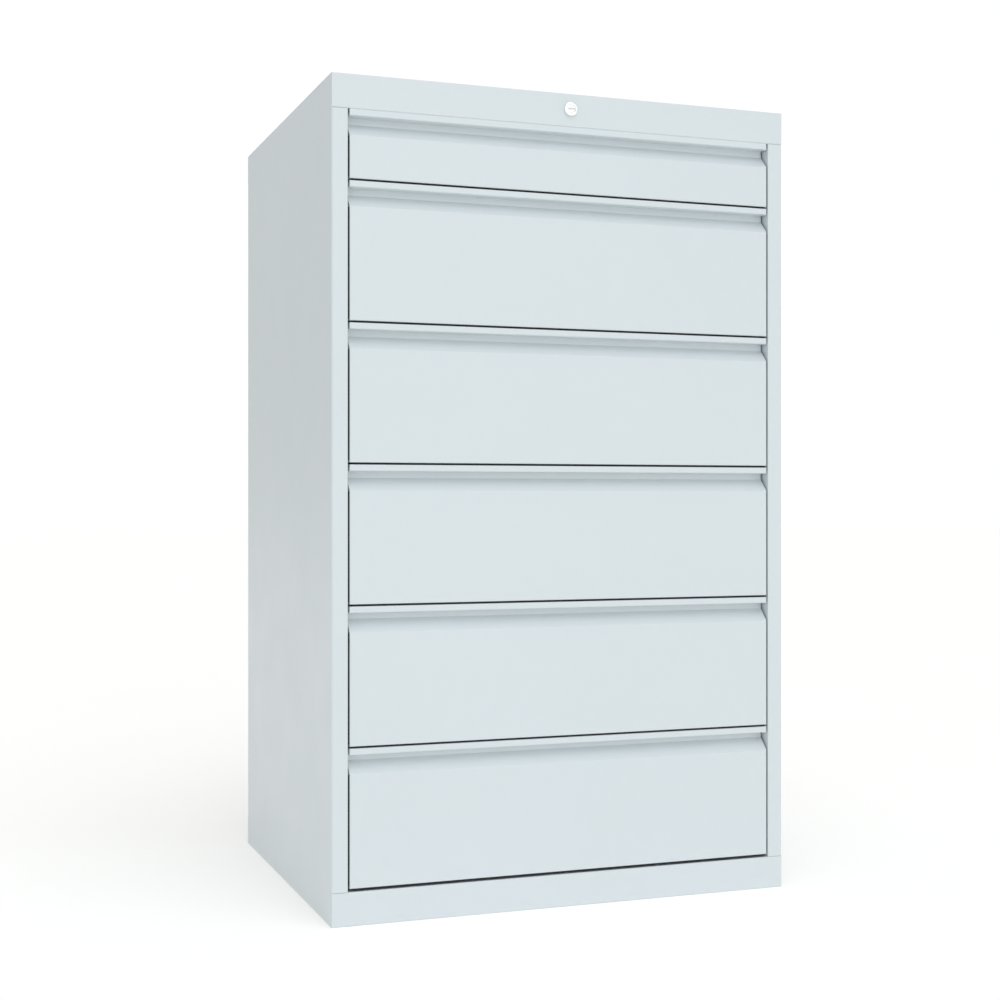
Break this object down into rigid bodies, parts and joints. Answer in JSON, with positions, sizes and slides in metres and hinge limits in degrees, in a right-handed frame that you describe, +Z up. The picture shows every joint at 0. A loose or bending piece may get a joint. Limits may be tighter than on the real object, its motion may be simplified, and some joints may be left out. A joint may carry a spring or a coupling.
{
  "type": "multi-drawer cabinet",
  "caption": "Tall free-standing steel cabinet with full-width drawers on telescopic slides, folded finger grips along their top edges, a plain plinth and one lock for all drawers.",
  "frame": {"origin": "on the floor, at the centre of the cabinet's box", "axes": "+Z up, the drawers open towards -Y, +X to the right as seen from the front"},
  "size_m": [0.775, 0.6554, 1.3],
  "materials": {
    "painted_steel": "powder coat, satin",
    "painted_inside": "powder coat, satin",
    "zinc_steel": "zinc plated",
    "lock_nickel": "bright nickel plated",
    "rivet_aluminium": "plain",
    "foot_rubber": "moulded"
  },
  "bodies": {
    "carcass": {"side_panel_left": "painted_steel", "side_panel_right": "painted_steel", "top_panel": "painted_steel", "lock_rail": "painted_steel", "plinth_front": "painted_steel", "plinth_rear": "painted_steel", "base_panel": "painted_steel", "back_panel": "painted_steel", "back_rivets": "rivet_aluminium", "upright_front_left": "painted_inside", "upright_front_right": "painted_inside", "upright_rear_left": "painted_inside", "upright_rear_right": "painted_inside", "levelling_feet": "foot_rubber", "foot_brackets": "zinc_steel", "slide_screws": "zinc_steel", "lock_housing": "lock_nickel", "lock_nut": "zinc_steel", "rod_bearing": "zinc_steel", "bar_guides": "zinc_steel", "slide_outer_1": "zinc_steel", "slide_outer_2": "zinc_steel", "slide_outer_3": "zinc_steel", "slide_outer_4": "zinc_steel", "slide_outer_5": "zinc_steel", "slide_outer_6": "zinc_steel"},
    "drawer_1": {"drawer_front_1": "painted_steel", "drawer_tray_1": "painted_inside", "drawer_back_1": "painted_inside", "slide_inner_1": "zinc_steel"},
    "drawer_2": {"drawer_front_2": "painted_steel", "drawer_tray_2": "painted_inside", "drawer_back_2": "painted_inside", "slide_inner_2": "zinc_steel"},
    "drawer_3": {"drawer_front_3": "painted_steel", "drawer_tray_3": "painted_inside", "drawer_back_3": "painted_inside", "slide_inner_3": "zinc_steel"},
    "drawer_4": {"drawer_front_4": "painted_steel", "drawer_tray_4": "painted_inside", "drawer_back_4": "painted_inside", "slide_inner_4": "zinc_steel"},
    "drawer_5": {"drawer_front_5": "painted_steel", "drawer_tray_5": "painted_inside", "drawer_back_5": "painted_inside", "slide_inner_5": "zinc_steel"},
    "drawer_6": {"drawer_front_6": "painted_steel", "drawer_tray_6": "painted_inside", "drawer_back_6": "painted_inside", "slide_inner_6": "zinc_steel"},
    "mid_slides_1": {"slide_mid_1": "zinc_steel"},
    "mid_slides_2": {"slide_mid_2": "zinc_steel"},
    "mid_slides_3": {"slide_mid_3": "zinc_steel"},
    "mid_slides_4": {"slide_mid_4": "zinc_steel"},
    "mid_slides_5": {"slide_mid_5": "zinc_steel"},
    "mid_slides_6": {"slide_mid_6": "zinc_steel"},
    "lock_core": {"lock_plug": "lock_nickel", "lock_rod": "zinc_steel"},
    "lock_bar": {"lock_bar": "zinc_steel"}
  },
  "joints": [
    {"name": "drawer_1_slide", "type": "slide", "parent": "carcass", "child": "drawer_1", "axis": [0, -1, 0], "range_m": [0, 0.6]},
    {"name": "mid_slides_1_slide", "type": "slide", "parent": "carcass", "child": "mid_slides_1", "axis": [0, -1, 0], "range_m": [0, 0.3]},
    {"name": "drawer_2_slide", "type": "slide", "parent": "carcass", "child": "drawer_2", "axis": [0, -1, 0], "range_m": [0, 0.6]},
    {"name": "mid_slides_2_slide", "type": "slide", "parent": "carcass", "child": "mid_slides_2", "axis": [0, -1, 0], "range_m": [0, 0.3]},
    {"name": "drawer_3_slide", "type": "slide", "parent": "carcass", "child": "drawer_3", "axis": [0, -1, 0], "range_m": [0, 0.6]},
    {"name": "mid_slides_3_slide", "type": "slide", "parent": "carcass", "child": "mid_slides_3", "axis": [0, -1, 0], "range_m": [0, 0.3]},
    {"name": "drawer_4_slide", "type": "slide", "parent": "carcass", "child": "drawer_4", "axis": [0, -1, 0], "range_m": [0, 0.6]},
    {"name": "mid_slides_4_slide", "type": "slide", "parent": "carcass", "child": "mid_slides_4", "axis": [0, -1, 0], "range_m": [0, 0.3]},
    {"name": "drawer_5_slide", "type": "slide", "parent": "carcass", "child": "drawer_5", "axis": [0, -1, 0], "range_m": [0, 0.6]},
    {"name": "mid_slides_5_slide", "type": "slide", "parent": "carcass", "child": "mid_slides_5", "axis": [0, -1, 0], "range_m": [0, 0.3]},
    {"name": "drawer_6_slide", "type": "slide", "parent": "carcass", "child": "drawer_6", "axis": [0, -1, 0], "range_m": [0, 0.6]},
    {"name": "mid_slides_6_slide", "type": "slide", "parent": "carcass", "child": "mid_slides_6", "axis": [0, -1, 0], "range_m": [0, 0.3]},
    {"name": "lock_turn", "type": "hinge", "parent": "carcass", "child": "lock_core", "pos_m": [0.0044, -0.3237, 1.2753], "axis": [0, 1, 0], "range_deg": [0, 90]},
    {"name": "lock_bar_lift", "type": "slide", "parent": "carcass", "child": "lock_bar", "axis": [0, 0, 1], "range_m": [0, 0.012]}
  ],
  "couplings": [
    {"joint": "mid_slides_1_slide", "follows": "drawer_1_slide", "ratio": 0.5},
    {"joint": "mid_slides_2_slide", "follows": "drawer_2_slide", "ratio": 0.5},
    {"joint": "mid_slides_3_slide", "follows": "drawer_3_slide", "ratio": 0.5},
    {"joint": "mid_slides_4_slide", "follows": "drawer_4_slide", "ratio": 0.5},
    {"joint": "mid_slides_5_slide", "follows": "drawer_5_slide", "ratio": 0.5},
    {"joint": "mid_slides_6_slide", "follows": "drawer_6_slide", "ratio": 0.5},
    {"joint": "lock_turn", "follows": "lock_bar_lift", "rad_per_m": 130.9}
  ]
}
